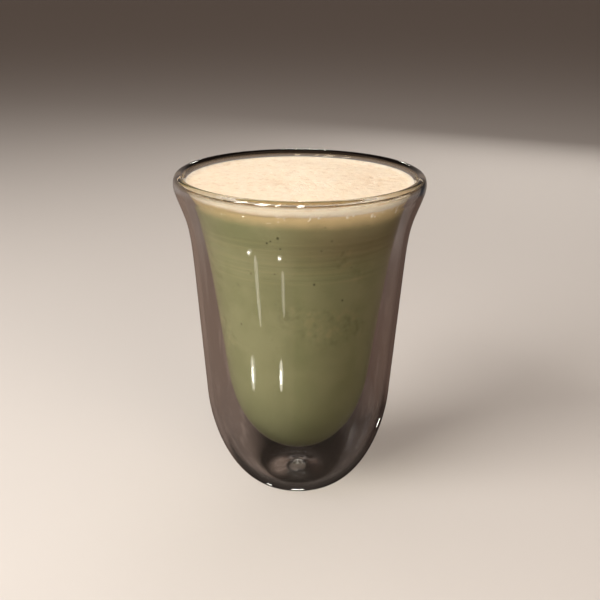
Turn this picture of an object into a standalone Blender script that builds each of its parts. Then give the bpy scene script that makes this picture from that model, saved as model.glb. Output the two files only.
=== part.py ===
"""Matcha drink topped with milk froth, in a tall double-walled glass.

The glass is one piece: an outer shell and an inner cup, both with rounded bottoms,
fused together at the lip. Units are metres, +Z is up, and the origin is the centre of
the foot, at the height of the surface that the glass stands on.
"""

import math

import bpy
from mathutils import Vector, noise

COLLECTION_NAME = "matcha_drink_in_double_wall_glass"

# The glass as a whole
GLASS_HEIGHT = 0.1186
SHELL_WALL = 0.0015
CUP_WALL = 0.0015

# The outer shell's outer face: a flat foot, a rounded bowl, a slight taper and a flare
FOOT_RADIUS = 0.0130
SHELL_BELLY_RADIUS = 0.03139
SHELL_BOWL_HEIGHT = 0.0365
SHELL_BOWL_EXPONENT = 1.875
SHELL_TAPER = 0.00825
SHELL_FLARE = 0.0053
SHELL_FLARE_DROP = 0.0103
SHELL_FLARE_SPREAD = 0.0043

# The flare's edge curls back in to the rim, which is rounded down to the cup's inside
LIP_CURL = 0.00285
LIP_CURL_DEPTH = 0.0055
RIM_HEIGHT = 0.0006
RIM_TURN = math.radians(60.0)

# The inner cup's outer face: a rounded bowl, a steady taper and a trumpet-shaped mouth
CUP_BOTTOM_HEIGHT = 0.01383
CUP_BELLY_RADIUS = 0.02194
CUP_BOWL_HEIGHT = 0.0327
CUP_BOWL_EXPONENT = 2.32
CUP_TAPER = 0.01384
CUP_FLARE = 0.0071
CUP_FLARE_LENGTH = 0.0100

# The thick base of the shell, its hollow underside and the vent through it
BASE_THICKNESS = 0.0020
PUNT_RIM_RADIUS = 0.0080
PUNT_FLOOR_RADIUS = 0.0050
PUNT_RISE = 0.0008
VENT_RADIUS = 0.0034
SEAL_RECESS = 0.0003
SEAL_DOME_HEIGHT = 0.0028

# The space between the walls ends in a rounded top below the lip
CAVITY_TOP_DROP = 0.0019

# Levels of the drink and of the froth, below the lip
FROTH_TOP_DROP = 0.0027
FROTH_DEPTH = 0.0031
FROTH_SWELL = 0.0003
FROTH_SWELL_PER_METRE = 62.0
FROTH_MENISCUS = 0.00035
FROTH_MENISCUS_WIDTH = 0.0016

# Gap that touching pieces keep between their meshes
GAP = 0.0003

# Fineness of the meshes
SEGMENTS = 56
SEAL_SEGMENTS = 24
BOWL_STEPS = 8
WALL_STEPS = 9
LIP_STEPS = 7
RIM_STEPS = 3
DOME_STEPS = 6
CAVITY_TOP_STEPS = 4
FROTH_RINGS = 9
WALL_SPACING_POWER = 0.62
AXIS_MERGE_DISTANCE = 0.00001
SMOOTH_ANGLE = math.radians(35.0)


def bowl_share(rise, exponent):
    """Share of the full radius that a rounded bottom has reached at a share of its height."""
    rise = min(max(rise, 0.0), 1.0)
    return (1.0 - (1.0 - rise) ** exponent) ** (1.0 / exponent)


def shell_radius(z):
    """Radius of the shell's outer face at a height."""
    bowl = (SHELL_BELLY_RADIUS - FOOT_RADIUS) * bowl_share(z / SHELL_BOWL_HEIGHT, SHELL_BOWL_EXPONENT)
    flare_middle = GLASS_HEIGHT - SHELL_FLARE_DROP
    flare = SHELL_FLARE / (1.0 + math.exp((flare_middle - z) / SHELL_FLARE_SPREAD))
    turned = min(max((z - GLASS_HEIGHT) / LIP_CURL_DEPTH + 1.0, 0.0), 1.0)
    curl = LIP_CURL * (1.0 - math.sqrt(1.0 - turned ** 2))
    return FOOT_RADIUS + bowl + SHELL_TAPER * z / GLASS_HEIGHT + flare - curl


def cup_radius(z):
    """Radius of the inner cup's outer face at a height."""
    rise = z - CUP_BOTTOM_HEIGHT
    bowl = CUP_BELLY_RADIUS * bowl_share(rise / CUP_BOWL_HEIGHT, CUP_BOWL_EXPONENT)
    taper = CUP_TAPER * rise / (GLASS_HEIGHT - CUP_BOTTOM_HEIGHT)
    return bowl + taper + CUP_FLARE * math.exp((z - GLASS_HEIGHT) / CUP_FLARE_LENGTH)


def bowl_heights(bottom, height, exponent):
    """Heights up a rounded bottom, close together where the curve lies flat."""
    turns = [0.5 * math.pi * step / BOWL_STEPS for step in range(BOWL_STEPS)]
    return [bottom + height * (1.0 - math.cos(turn) ** (2.0 / exponent)) for turn in turns]


def wall_heights(bottom, top):
    """Heights up a wall from the top of its bowl, closer together towards the flared top."""
    shares = [(step / WALL_STEPS) ** WALL_SPACING_POWER for step in range(WALL_STEPS + 1)]
    return [bottom + (top - bottom) * share for share in shares]


def inset(points, thicknesses):
    """Move an upward-running outline inwards, square to itself, by a thickness at each point."""
    moved = []
    for index, (radius, height) in enumerate(points):
        before = points[max(index - 1, 0)]
        after = points[min(index + 1, len(points) - 1)]
        run = after[0] - before[0]
        rise = after[1] - before[1]
        length = math.hypot(run, rise)
        if index == 0:
            run, rise, length = 1.0, 0.0, 1.0
        thickness = thicknesses[index]
        moved.append((radius - thickness * rise / length, height + thickness * run / length))
    return moved


def cut_at(points, top):
    """The part of an upward-running outline that lies below a height, ending on that height."""
    below = []
    for point in points:
        if point[1] > top - GAP:
            break
        below.append(point)
    above = next(point for point in points[len(below):] if point[1] > top)
    share = (top - below[-1][1]) / (above[1] - below[-1][1])
    radius_at_top = below[-1][0] + share * (above[0] - below[-1][0])
    return below + [(radius_at_top, top)]


def shell_face():
    """The shell's outer face from the edge of the foot up to the top of the rim."""
    heights = bowl_heights(0.0, SHELL_BOWL_HEIGHT, SHELL_BOWL_EXPONENT)
    heights += wall_heights(SHELL_BOWL_HEIGHT, GLASS_HEIGHT - LIP_CURL_DEPTH)
    turns = [0.5 * math.pi * step / LIP_STEPS for step in range(1, LIP_STEPS + 1)]
    heights += [GLASS_HEIGHT - LIP_CURL_DEPTH * (1.0 - math.sin(turn)) for turn in turns]
    return [(shell_radius(height), height) for height in heights]


def shell_inner_face(top):
    """The shell's inner face up to a height, thick at the base and thinning up the bowl."""
    outer = shell_face()
    thicknesses = []
    for _, height in outer:
        left = 1.0 - bowl_share(height / SHELL_BOWL_HEIGHT, SHELL_BOWL_EXPONENT)
        thicknesses.append(SHELL_WALL + (BASE_THICKNESS - SHELL_WALL) * left)
    return cut_at(inset(outer, thicknesses), top)


def cup_face(top):
    """The cup's outer face from the axis up to a height, starting at radius zero."""
    heights = bowl_heights(CUP_BOTTOM_HEIGHT, CUP_BOWL_HEIGHT, CUP_BOWL_EXPONENT)
    heights += wall_heights(CUP_BOTTOM_HEIGHT + CUP_BOWL_HEIGHT, top)
    points = [(cup_radius(height), height) for height in heights]
    return [(0.0, points[0][1])] + points[1:]


def cup_inner_face(top, clearance=0.0):
    """The face that holds the drink, up to a height, or a line that clears it by a distance."""
    outer = cup_face(GLASS_HEIGHT)
    return cut_at(inset(outer, [CUP_WALL + clearance] * len(outer)), top)


def arc(centre, radius, start, end, steps):
    """Points on an arc between two angles, in degrees from the +X side."""
    angles = [math.radians(start + (end - start) * step / steps) for step in range(steps + 1)]
    return [(centre[0] + radius * math.cos(a), centre[1] + radius * math.sin(a)) for a in angles]


def rim_points(inner_radius, top_radius):
    """The rounded inner edge of the rim, between the cup's inside and the rim's top."""
    width = (top_radius - inner_radius) / math.sin(RIM_TURN)
    turns = [RIM_TURN * (1.0 - step / RIM_STEPS) for step in range(1, RIM_STEPS)]
    return [
        (top_radius - width * math.sin(turn), GLASS_HEIGHT - RIM_HEIGHT * (1.0 - math.cos(turn)))
        for turn in turns
    ]


def cavity_top(shell_point, cup_point):
    """The half-round top of the space between the walls, from the shell's side to the cup's."""
    middle = (0.5 * (shell_point[0] + cup_point[0]), 0.5 * (shell_point[1] + cup_point[1]))
    radius = 0.5 * math.dist(shell_point, cup_point)
    tilt = math.degrees(math.atan2(shell_point[1] - cup_point[1], shell_point[0] - cup_point[0]))
    return arc(middle, radius, tilt, tilt + 180.0, CAVITY_TOP_STEPS)[1:-1]


def glass_profile():
    """The glass's outline, from the bottom of the cup's inside, over the lip and round the shell."""
    inside = cup_inner_face(GLASS_HEIGHT - RIM_HEIGHT * (1.0 - math.cos(RIM_TURN)))
    outside = list(reversed(shell_face()))
    rim = rim_points(inside[-1][0], outside[0][0])
    foot = [
        (PUNT_RIM_RADIUS, 0.0),
        (PUNT_FLOOR_RADIUS, PUNT_RISE),
        (VENT_RADIUS, PUNT_RISE),
        (VENT_RADIUS, BASE_THICKNESS),
    ]
    cavity_level = GLASS_HEIGHT - CAVITY_TOP_DROP
    shell_inside = shell_inner_face(cavity_level)
    cup_outside = cup_face(cavity_level)
    top = cavity_top(shell_inside[-1], cup_outside[-1])
    return inside + rim + outside + foot + shell_inside + top + list(reversed(cup_outside))


def drink_profile():
    """The drink, from the middle of its top, down the glass's inside to its lowest point."""
    level = GLASS_HEIGHT - FROTH_TOP_DROP - FROTH_DEPTH - GAP
    side = cup_inner_face(level, GAP)
    return [(0.0, level)] + list(reversed(side))


def froth_profile():
    """The froth, from the middle of its top, out to the glass and back along its underside."""
    level = GLASS_HEIGHT - FROTH_TOP_DROP
    underside = level - FROTH_DEPTH
    side = [point for point in cup_inner_face(level, GAP) if point[1] > underside + GAP]
    bottom_radius = cup_inner_face(underside, GAP)[-1][0]
    rings = [side[-1][0] * ring / FROTH_RINGS for ring in range(FROTH_RINGS)]
    top = [(radius, level) for radius in rings]
    edge = [(side[-1][0] - FROTH_MENISCUS_WIDTH, level)]
    return top + edge + list(reversed(side)) + [(bottom_radius, underside), (0.0, underside)]


def seal_profile():
    """The vent's seal, from its domed top down its shank to its flat end."""
    radius = VENT_RADIUS - GAP
    dome_base = BASE_THICKNESS + SEAL_RECESS
    quarter = [0.5 * math.pi * step / DOME_STEPS for step in range(DOME_STEPS + 1)]
    dome = [(radius * math.sin(a), dome_base + SEAL_DOME_HEIGHT * math.cos(a)) for a in quarter]
    end = PUNT_RISE + SEAL_RECESS
    return dome + [(radius, end), (0.0, end)]


def make_material(name, colour, roughness, transmission=0.0):
    """A plain material of one colour."""
    material = bpy.data.materials.new(name)
    material.use_nodes = True
    material.diffuse_color = (*colour, 1.0 - 0.6 * transmission)
    shader = material.node_tree.nodes["Principled BSDF"]
    shader.inputs["Base Color"].default_value = (*colour, 1.0)
    shader.inputs["Roughness"].default_value = roughness
    shader.inputs["Metallic"].default_value = 0.0
    shader.inputs["Transmission Weight"].default_value = transmission
    return material


def turned_piece(name, profile, material, segments, collection):
    """A solid of revolution about +Z from a profile of (radius, height) points."""
    mesh = bpy.data.meshes.new(name)
    edges = [(index, index + 1) for index in range(len(profile) - 1)]
    mesh.from_pydata([(radius, 0.0, height) for radius, height in profile], edges, [])
    piece = bpy.data.objects.new(name, mesh)
    collection.objects.link(piece)
    screw = piece.modifiers.new("Turn", "SCREW")
    screw.axis = "Z"
    screw.angle = math.tau
    screw.steps = segments
    screw.render_steps = segments
    screw.use_merge_vertices = True
    screw.merge_threshold = AXIS_MERGE_DISTANCE
    depsgraph = bpy.context.evaluated_depsgraph_get()
    turned = bpy.data.meshes.new_from_object(piece.evaluated_get(depsgraph))
    piece.modifiers.clear()
    piece.data = turned
    bpy.data.meshes.remove(mesh)
    turned.name = name
    turned.shade_smooth()
    turned.set_sharp_from_angle(angle=SMOOTH_ANGLE)
    turned.materials.append(material)
    return piece


def roughen_froth(piece):
    """Give the froth's level top low swells, and a rim that climbs a little up the glass."""
    level = GLASS_HEIGHT - FROTH_TOP_DROP
    top = [vertex for vertex in piece.data.vertices if abs(vertex.co.z - level) < GAP]
    edge = max(math.hypot(vertex.co.x, vertex.co.y) for vertex in top)
    for vertex in top:
        radius = math.hypot(vertex.co.x, vertex.co.y)
        place = Vector((vertex.co.x, vertex.co.y, 0.0)) * FROTH_SWELL_PER_METRE
        climb = FROTH_MENISCUS * math.exp((radius - edge) / FROTH_MENISCUS_WIDTH)
        fade = min(1.0, (edge - radius) / FROTH_MENISCUS_WIDTH)
        vertex.co.z += FROTH_SWELL * fade * noise.noise(place) - FROTH_MENISCUS + climb


def clear_scene():
    """Remove every object that is already in the file."""
    for existing in list(bpy.data.objects):
        bpy.data.objects.remove(existing, do_unlink=True)


def build():
    """Make every piece of the drink and its glass."""
    clear_scene()
    collection = bpy.data.collections.new(COLLECTION_NAME)
    bpy.context.scene.collection.children.link(collection)
    clear_glass = make_material("clear_glass", (0.93, 0.95, 0.94), 0.03, 0.95)
    clear_seal = make_material("clear_seal", (0.86, 0.88, 0.86), 0.25, 0.6)
    matcha = make_material("matcha", (0.24, 0.21, 0.09), 0.45)
    froth = make_material("froth", (0.86, 0.70, 0.52), 0.6)
    turned_piece("double_wall_glass", glass_profile(), clear_glass, SEGMENTS, collection)
    turned_piece("vent_seal", seal_profile(), clear_seal, SEAL_SEGMENTS, collection)
    turned_piece("matcha_drink", drink_profile(), matcha, SEGMENTS, collection)
    froth_piece = turned_piece("milk_froth", froth_profile(), froth, SEGMENTS, collection)
    roughen_froth(froth_piece)


build()
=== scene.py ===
"""Looks of a matcha drink with milk froth in a double-walled glass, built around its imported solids.

Every length is in metres, +Z is up, and the origin is the centre of the glass's foot.
Each sub-assembly is a class that holds its sizes and builds its own meshes; each finish
is a small class that makes one material.
"""

import logging
import math
import random
from dataclasses import dataclass
from enum import Enum

import bmesh
import bpy
import numpy as np
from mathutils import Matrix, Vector, noise


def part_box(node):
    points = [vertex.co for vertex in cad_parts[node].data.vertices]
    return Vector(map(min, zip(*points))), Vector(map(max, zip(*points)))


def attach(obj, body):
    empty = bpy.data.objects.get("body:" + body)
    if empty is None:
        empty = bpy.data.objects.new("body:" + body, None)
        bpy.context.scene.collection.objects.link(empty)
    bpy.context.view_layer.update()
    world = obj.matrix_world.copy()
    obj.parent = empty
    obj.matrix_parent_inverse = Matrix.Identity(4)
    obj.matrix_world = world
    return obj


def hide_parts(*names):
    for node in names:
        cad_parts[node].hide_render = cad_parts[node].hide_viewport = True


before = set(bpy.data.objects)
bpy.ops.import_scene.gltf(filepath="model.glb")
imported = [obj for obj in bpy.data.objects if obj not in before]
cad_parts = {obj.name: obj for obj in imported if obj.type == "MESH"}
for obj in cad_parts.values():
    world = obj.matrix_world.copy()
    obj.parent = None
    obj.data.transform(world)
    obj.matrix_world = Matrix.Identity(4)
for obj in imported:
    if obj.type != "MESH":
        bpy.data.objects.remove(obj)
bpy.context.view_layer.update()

LOG = logging.getLogger("matcha_drink")
BODY = "root"
RELIEF = "relief"  # the attribute that holds how high the froth stands
LEVEL_SLACK = 1e-5  # how far from a level a point may lie and still count as on it

Colour = tuple[float, float, float]
Triple = tuple[float, float, float]
Span = tuple[float, float]


class Node(Enum):
    """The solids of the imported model."""

    GLASS = "double_wall_glass"
    SEAL = "vent_seal"
    DRINK = "matcha_drink"
    FROTH = "milk_froth"


class Slot(Enum):
    """The record's material slots."""

    GLASS = "clear_glass"
    SEAL = "clear_seal"
    DRINK = "matcha"
    FROTH = "froth"


class Blend(Enum):
    """The ways of joining two colours that the finishes use."""

    MIX = "MIX"
    MULTIPLY = "MULTIPLY"


# ---------------------------------------------------------------- shader expressions


class Signal:
    """One output socket, on which Python's operators add Math nodes."""

    def __init__(self, graph: "Graph", socket: bpy.types.NodeSocket) -> None:
        """Wrap a socket.

        Args:
            graph: The graph that the socket belongs to.
            socket: The output socket.
        """
        self.graph = graph
        self.socket = socket

    def __add__(self, other: "Signal | float") -> "Signal":
        """Sum."""
        return self.graph.math("ADD", self, other)

    def __sub__(self, other: "Signal | float") -> "Signal":
        """Difference."""
        return self.graph.math("SUBTRACT", self, other)

    def __rsub__(self, other: float) -> "Signal":
        """Difference from a number."""
        return self.graph.math("SUBTRACT", other, self)

    def __mul__(self, other: "Signal | float") -> "Signal":
        """Product."""
        return self.graph.math("MULTIPLY", self, other)

    __radd__ = __add__
    __rmul__ = __mul__

    def between(self, low: float, high: float) -> "Signal":
        """A smooth step of this value.

        Args:
            low: The value at which the step begins.
            high: The value at which it ends; below low for a falling step.

        Returns:
            Zero at low and beyond, one at high and beyond.
        """
        settings = {"interpolation_type": "SMOOTHSTEP"}
        values = {"Value": self, "From Min": low, "From Max": high}
        return self.graph.node("ShaderNodeMapRange", settings, values)["Result"]


class Made(dict[str, Signal]):
    """A node's output signals by name."""


@dataclass(frozen=True)
class Patches:
    """Soft noise that is kept only where it passes a smooth step.

    The scale is in lumps per unit of the vector that they are read from, so per metre on a
    piece; low and high are where the step begins and ends; share is how strong the patches
    are; detail is the noise's octaves, and roughness how strong the fine ones are.
    """

    scale: float
    low: float
    high: float
    share: float = 1.0
    detail: float = 3.0
    roughness: float = 0.55


class Graph:
    """The node tree of one material or world, with short ways to add to it."""

    def __init__(self, owner: bpy.types.Material | bpy.types.World) -> None:
        """Start with an empty tree.

        Args:
            owner: The new material or world.
        """
        owner.use_nodes = True
        self.owner = owner
        self.tree = owner.node_tree
        self.tree.nodes.clear()

    def node(self, kind: str, settings: dict | None = None, values: dict | None = None) -> Made:
        """Add one node.

        Args:
            kind: The node's type.
            settings: Its own properties, set first.
            values: A number, colour or Signal for each input, by identifier or name.

        Returns:
            The node's outputs as signals, by identifier and name.
        """
        made = self.tree.nodes.new(kind)
        for key, value in (settings or {}).items():
            setattr(made, key, value)
        for key, value in (values or {}).items():
            socket = self._input(made, key)
            if isinstance(value, Signal):
                self.tree.links.new(value.socket, socket)
            else:
                socket.default_value = value
        outputs = Made({output.identifier: Signal(self, output) for output in made.outputs})
        for output in made.outputs:
            outputs.setdefault(output.name, outputs[output.identifier])
        return outputs

    @staticmethod
    def _input(made: bpy.types.Node, key: str) -> bpy.types.NodeSocket:
        """Find an input of a node.

        Args:
            made: The node.
            key: The input's identifier, or else its name.

        Returns:
            The input socket.
        """
        for socket in made.inputs:
            if socket.identifier == key:
                return socket
        return made.inputs[key]

    def math(self, operation: str, first: "Signal | float", second: "Signal | float") -> Signal:
        """A Math node on two values."""
        values = {"Value": first, "Value_001": second}
        return self.node("ShaderNodeMath", {"operation": operation}, values)["Value"]

    def mix(self, factor: Signal | float, first: Signal | Colour, second: Signal | Colour,
            blend: Blend = Blend.MIX) -> Signal:
        """Join two colours.

        Args:
            factor: The share of the second colour.
            first: The colour at a factor of zero.
            second: The colour at a factor of one.
            blend: How they are joined.

        Returns:
            The resulting colour.
        """
        lower, upper = (side if isinstance(side, Signal) else (*side, 1.0) for side in (first, second))
        settings = {"data_type": "RGBA", "blend_type": blend.value}
        values = {"Factor_Float": factor, "A_Color": lower, "B_Color": upper}
        return self.node("ShaderNodeMix", settings, values)["Result_Color"]

    def place(self) -> Signal:
        """The point on the surface, in metres in the object's own frame."""
        return self.node("ShaderNodeTexCoord")["Object"]

    def stretch(self, vector: Signal, factors: Triple) -> Signal:
        """A vector with each axis scaled by its own factor."""
        values = {"Vector": vector, "Vector_001": factors}
        return self.node("ShaderNodeVectorMath", {"operation": "MULTIPLY"}, values)["Vector"]

    def parts(self, vector: Signal) -> Made:
        """The components of a vector, as X, Y and Z."""
        return self.node("ShaderNodeSeparateXYZ", None, {"Vector": vector})

    def height(self) -> Signal:
        """The height of the surface point above the foot."""
        return self.parts(self.place())["Z"]

    def mottle(self, vector: Signal, scale: float, detail: float, roughness: float) -> Signal:
        """Soft noise from 0 to 1.

        Args:
            vector: Where the noise is read.
            scale: Lumps per metre.
            detail: Octaves.
            roughness: How strong the fine octaves are.

        Returns:
            The noise value.
        """
        values = {"Vector": vector, "Scale": scale, "Detail": detail, "Roughness": roughness}
        return self.node("ShaderNodeTexNoise", None, values)["Fac"]

    def patches(self, vector: Signal, kind: Patches) -> Signal:
        """The strength of the patches of one kind, from zero to their share."""
        noise_value = self.mottle(vector, kind.scale, kind.detail, kind.roughness)
        return noise_value.between(kind.low, kind.high) * kind.share

    def cells(self, vector: Signal, scale: float) -> Signal:
        """The distance to the nearest of scattered points, in cells; scale is cells per metre."""
        values = {"Vector": vector, "Scale": scale, "Randomness": 1.0}
        return self.node("ShaderNodeTexVoronoi", {"feature": "F1"}, values)["Distance"]

    def relief(self, height: Signal, strength: float, depth: float) -> Signal:
        """A normal bent by a height value.

        Args:
            height: The height, 0 to 1.
            strength: The share of the bend that is used.
            depth: The relief's depth at a height of one, in metres.

        Returns:
            The bent normal.
        """
        values = {"Height": height, "Strength": strength, "Distance": depth}
        return self.node("ShaderNodeBump", None, values)["Normal"]

    def surface(self, values: dict) -> Signal:
        """A Principled shader with these inputs."""
        return self.node("ShaderNodeBsdfPrincipled", None, values)["BSDF"]

    def finish(self, shader: Signal) -> bpy.types.Material:
        """Send a shader to the output and return the material."""
        self.node("ShaderNodeOutputMaterial", None, {"Surface": shader})
        return self.owner


# ---------------------------------------------------------------- finishes


@dataclass(frozen=True)
class ClearGlass:
    """Clear borosilicate glass that lets the lamps' light through to what it holds.

    Above lip_level, where a piece has one, the glass is solid from face to face, and is tinted
    darker and warmer there: painted shade and reflection for what the solid lip mirrors and bends.
    """

    name: str = Slot.GLASS.value
    tint: Colour = (0.955, 0.950, 0.940)
    lip_painted_shade: Colour = (0.560, 0.480, 0.370)
    lip_level: float | None = None
    lip_blend: float = 0.0004
    roughness: float = 0.02
    index: float = 1.47
    lamp_share: Colour = (0.96, 0.96, 0.95)

    def material(self) -> bpy.types.Material:
        """Make the material.

        Returns:
            The new material.
        """
        graph = Graph(bpy.data.materials.new(self.name))
        colour = (*self.tint, 1.0)
        if self.lip_level is not None:
            # painted shade and reflection: the solid lip is tinted darker and warmer
            lip = graph.height().between(self.lip_level - self.lip_blend, self.lip_level)
            colour = graph.mix(lip, self.tint, self.lip_painted_shade)
        body = graph.surface({
            "Base Color": colour,
            "Roughness": self.roughness,
            "IOR": self.index,
            "Transmission Weight": 1.0,
        })
        passing = graph.node("ShaderNodeBsdfTransparent", None, {"Color": (*self.lamp_share, 1.0)})
        ray = graph.node("ShaderNodeLightPath")
        for kind in ("Is Diffuse Ray", "Is Shadow Ray"):
            values = {"Fac": ray[kind], "Shader": body, "Shader_001": passing["BSDF"]}
            body = graph.node("ShaderNodeMixShader", None, values)["Shader"]
        return graph.finish(body)


@dataclass(frozen=True)
class FadeAndPaintedGlow:
    """How cream gives way to khaki and then to green down the side of the glass. It is partly
    the froth's own colour meeting the drink's, and partly painted glow: the pale cream and khaki
    on the drink stand for light that spreads down through the froth.

    Depths are below the froth's top. The fade reaches a little deeper towards +X, by
    slant metres for each metre, and the edges between the colours are ragged.
    """

    top_level: float
    # khaki: painted glow on the drink under the froth, and also the tone of the drink's pale patches
    khaki: Colour = (0.690, 0.530, 0.285)
    cream_depth: float = 0.0018
    khaki_depth: float = 0.0040
    khaki_overlap: float = 0.0006
    green_depth: float = 0.0085
    slant: float = 0.030
    slant_depths: Span = (0.0004, 0.0020)
    raggedness: float = 0.0020
    ragged_scale: float = 240.0
    ragged_detail: float = 3.0
    ragged_roughness: float = 0.55

    def tint(self, graph: Graph, foam: Signal | Colour, tea: Signal | Colour) -> Signal:
        """Blend from froth to tea.

        Args:
            graph: The material's graph.
            foam: The froth's own colour.
            tea: The drink's own colour.

        Returns:
            The colour at each height.
        """
        place = graph.place()
        part = graph.parts(place)
        lumps = graph.mottle(place, self.ragged_scale, self.ragged_detail, self.ragged_roughness)
        depth = self.top_level - part["Z"] - (lumps - 0.5) * self.raggedness
        depth = depth - part["X"] * self.slant * depth.between(*self.slant_depths)
        green_from = self.khaki_depth - self.khaki_overlap
        # painted glow: the drink is paler towards the froth, standing for light spread down through it
        lower = graph.mix(depth.between(green_from, self.green_depth), self.khaki, tea)
        return graph.mix(depth.between(self.cream_depth, self.khaki_depth), foam, lower)


@dataclass(frozen=True)
class MatchaMilk:
    """Opaque milky green tea, cream and then khaki just under the froth. The pale cream and khaki are
    partly painted glow for light spread down through the froth, and painted shade darkens the tea
    towards the bottom and browns it at the upper right.

    A pair of levels or sides is where a smooth step begins and ends, in metres.
    """

    fade_and_painted_glow: FadeAndPaintedGlow
    name: str = Slot.DRINK.value
    # painted glow: the drink's cream just under the froth stands for light spread down through it
    cream: Colour = (0.930, 0.740, 0.500)
    green: Colour = (0.312, 0.314, 0.172)
    green_shade: Colour = (0.272, 0.278, 0.145)
    # painted shade: the tea darkens towards the bottom
    green_lower_shade: Colour = (0.243, 0.256, 0.133)
    # painted shade: the tea browns towards the upper right
    brown_shade: Colour = (0.285, 0.235, 0.125)
    clouds: Patches = Patches(scale=70.0, low=0.35, high=0.65, detail=2.0)
    # where the painted shade darkens the bottom and browns the upper right
    lower_shade_levels: Span = (0.0620, 0.0155)
    brown_shade_levels: Span = (0.090, 0.102)
    brown_shade_sides: Span = (-0.018, 0.016)
    brown_shade_share: float = 0.75
    band_stretch: Triple = (14.0, 14.0, 1300.0)
    band_bottom_levels: Span = (0.084, 0.090)
    band_top_levels: Span = (0.106, 0.101)
    pale_bands: Patches = Patches(scale=1.0, low=0.53, high=0.66, share=0.09)
    dark_bands: Patches = Patches(scale=1.0, low=0.47, high=0.36, share=0.11)
    curds: Patches = Patches(scale=46.0, low=0.54, high=0.64, detail=1.0)
    curd_levels: Span = (0.050, 0.064)
    pale_grains: Patches = Patches(330.0, low=0.52, high=0.64, share=0.12, detail=4.0, roughness=0.6)
    dark_grains: Patches = Patches(330.0, low=0.48, high=0.38, share=0.22, detail=4.0, roughness=0.6)
    dust_scale: float = 420.0
    dust_limits: Span = (0.16, 0.08)
    dust_share: float = 0.25
    roughness: float = 0.38
    gloss: float = 0.1

    def clouded_and_shaded(self, graph: Graph) -> Signal:
        """The clouded green, with painted shade: darker towards the bottom and browner at the upper
        right.

        Args:
            graph: The material's graph.

        Returns:
            The colour.
        """
        place = graph.place()
        height = graph.height()
        tea = graph.mix(graph.patches(place, self.clouds), self.green, self.green_shade)
        # painted shade, darker towards the bottom
        tea = graph.mix(height.between(*self.lower_shade_levels), tea, self.green_lower_shade)
        rightward = graph.parts(place)["X"].between(*self.brown_shade_sides)
        # painted shade, browner at the upper right
        brown_shading = height.between(*self.brown_shade_levels) * rightward
        return graph.mix(brown_shading * self.brown_shade_share, tea, self.brown_shade)

    def marbled(self, graph: Graph, tea: Signal, where: Signal, vector: Signal,
                pale: Patches, dark: Patches) -> Signal:
        """Lay pale and dark patches over the tea.

        Args:
            graph: The material's graph.
            tea: The colour so far.
            where: How strongly the patches show at each place.
            vector: Where their noise is read.
            pale: The khaki patches.
            dark: The shaded patches.

        Returns:
            The colour with both.
        """
        tea = graph.mix(graph.patches(vector, pale) * where, tea, self.fade_and_painted_glow.khaki)
        return graph.mix(graph.patches(vector, dark) * where, tea, self.green_shade, Blend.MULTIPLY)

    def material(self) -> bpy.types.Material:
        """Make the material.

        Returns:
            The new material.
        """
        graph = Graph(bpy.data.materials.new(self.name))
        place = graph.place()
        height = graph.height()
        tea = self.clouded_and_shaded(graph)
        band_zone = height.between(*self.band_bottom_levels) * height.between(*self.band_top_levels)
        flattened = graph.stretch(place, self.band_stretch)
        tea = self.marbled(graph, tea, band_zone, flattened, self.pale_bands, self.dark_bands)
        curd_zone = graph.patches(place, self.curds) * height.between(*self.curd_levels)
        tea = self.marbled(graph, tea, curd_zone, place, self.pale_grains, self.dark_grains)
        dust = graph.cells(place, self.dust_scale).between(*self.dust_limits) * self.dust_share
        tea = graph.mix(dust, tea, self.green_shade, Blend.MULTIPLY)
        shader = graph.surface({
            "Base Color": self.fade_and_painted_glow.tint(graph, self.cream, tea),
            "Roughness": self.roughness,
            "Specular IOR Level": self.gloss,
        })
        return graph.finish(shader)


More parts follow.
